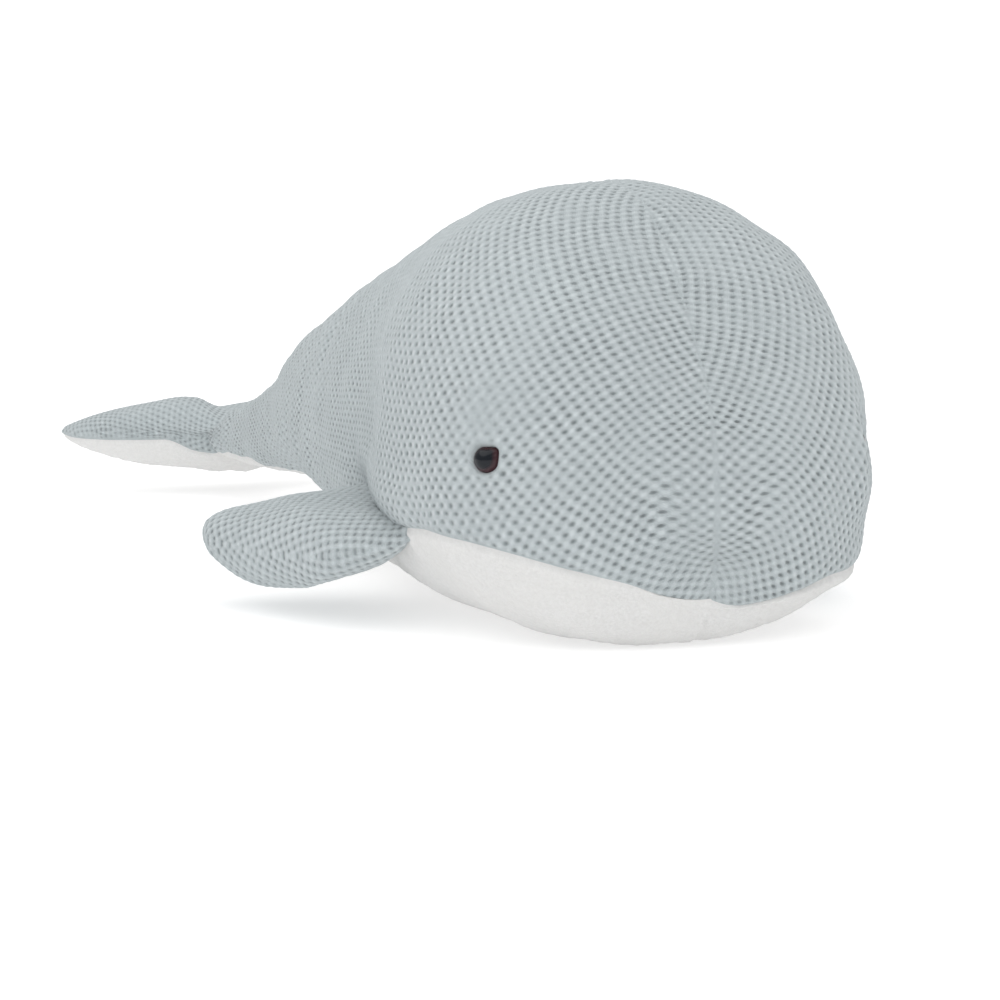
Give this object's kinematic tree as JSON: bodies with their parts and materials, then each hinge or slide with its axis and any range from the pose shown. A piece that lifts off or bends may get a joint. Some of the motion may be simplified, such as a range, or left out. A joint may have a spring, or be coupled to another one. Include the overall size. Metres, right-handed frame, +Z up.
{
  "type": "plush whale",
  "caption": "Plush whale in grey knit with a white plush belly, stuffed flippers and tail fluke, and glossy dome eyes; it rests on its belly.",
  "frame": {"origin": "under the middle of the bounding box, at the height of the belly's flat, where the toy rests", "axes": "+Z is up, -Y is the way the nose points, +Y is towards the tail, -X is the whale's right side"},
  "size_m": [0.2436, 0.5236, 0.152],
  "materials": {
    "grey_knit": "soft knitted jersey with a staggered pattern of small pits",
    "white_plush": "short soft pile",
    "filling": "loose polyester fibre",
    "eye_plastic": "polished",
    "washer_plastic": "plain"
  },
  "bodies": {
    "body": {"body_filling": "filling", "side_panel_right": "grey_knit", "side_panel_left": "grey_knit", "belly_panel": "white_plush", "eye_right": "eye_plastic", "eye_left": "eye_plastic", "eye_washer_right": "washer_plastic", "eye_washer_left": "washer_plastic"},
    "fluke": {"fluke_top_panel": "grey_knit", "fluke_underside_panel": "white_plush", "fluke_filling": "filling"},
    "flipper_right": {"flipper_right_top_panel": "grey_knit", "flipper_right_underside_panel": "grey_knit", "flipper_right_filling": "filling"},
    "flipper_left": {"flipper_left_top_panel": "grey_knit", "flipper_left_underside_panel": "grey_knit", "flipper_left_filling": "filling"}
  },
  "joints": [
    {"name": "tail_flex", "type": "hinge", "parent": "body", "child": "fluke", "pos_m": [0, 0.20616, 0.0293], "axis": [1, 0, 0], "range_deg": [-6, 22], "stiffness_Nm_per_rad": 0.3},
    {"name": "flipper_right_lift", "type": "hinge", "parent": "body", "child": "flipper_right", "pos_m": [-0.08226, -0.15628, 0.03528], "axis": [0.1821, 0.9833, -0.0027], "range_deg": [-12, 40], "stiffness_Nm_per_rad": 0.15},
    {"name": "flipper_left_lift", "type": "hinge", "parent": "body", "child": "flipper_left", "pos_m": [0.08226, -0.15628, 0.03528], "axis": [0.1821, -0.9833, 0.0027], "range_deg": [-12, 40], "stiffness_Nm_per_rad": 0.15}
  ]
}
